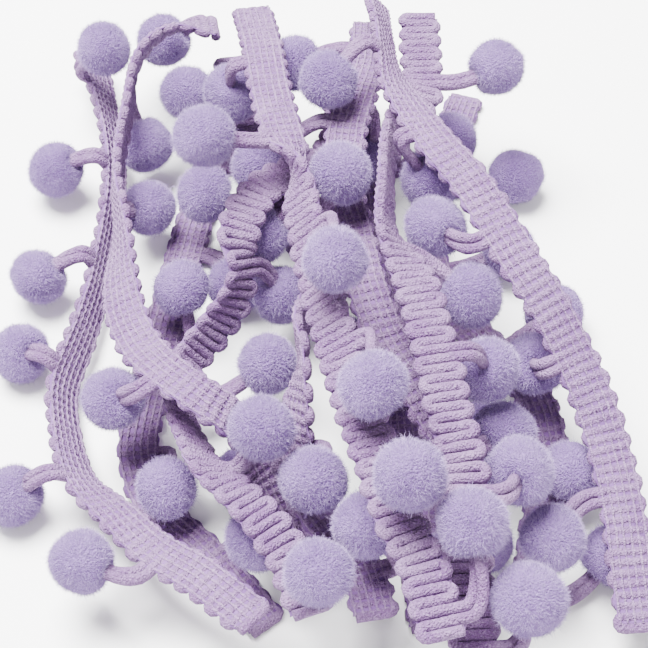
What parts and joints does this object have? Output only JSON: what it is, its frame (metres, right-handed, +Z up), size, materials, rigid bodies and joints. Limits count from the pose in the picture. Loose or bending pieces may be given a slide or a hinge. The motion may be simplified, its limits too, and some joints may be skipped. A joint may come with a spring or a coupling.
{
  "type": "pompom fringe trim",
  "caption": "Loose heap of flexible braid trim with round yarn pompoms hanging on short cord loops from one scalloped edge.",
  "frame": {"origin": "centre of the heap's bounding box, at the table it lies on", "axes": "+Z up from the table, +Y along the runs of the heap towards its far end, +X to the right of them"},
  "size_m": [0.1388, 0.1846, 0.0637],
  "materials": {
    "lavender_yarn": "matt"
  },
  "bodies": {
    "root": {"trim_left": "lavender_yarn", "trim_left_inner": "lavender_yarn", "trim_curl": "lavender_yarn", "trim_crest": "lavender_yarn", "trim_centre": "lavender_yarn", "trim_upper": "lavender_yarn", "trim_right": "lavender_yarn", "trim_under_left": "lavender_yarn", "trim_under_middle": "lavender_yarn", "trim_under_right": "lavender_yarn", "trim_floor": "lavender_yarn"}
  },
  "joints": []
}
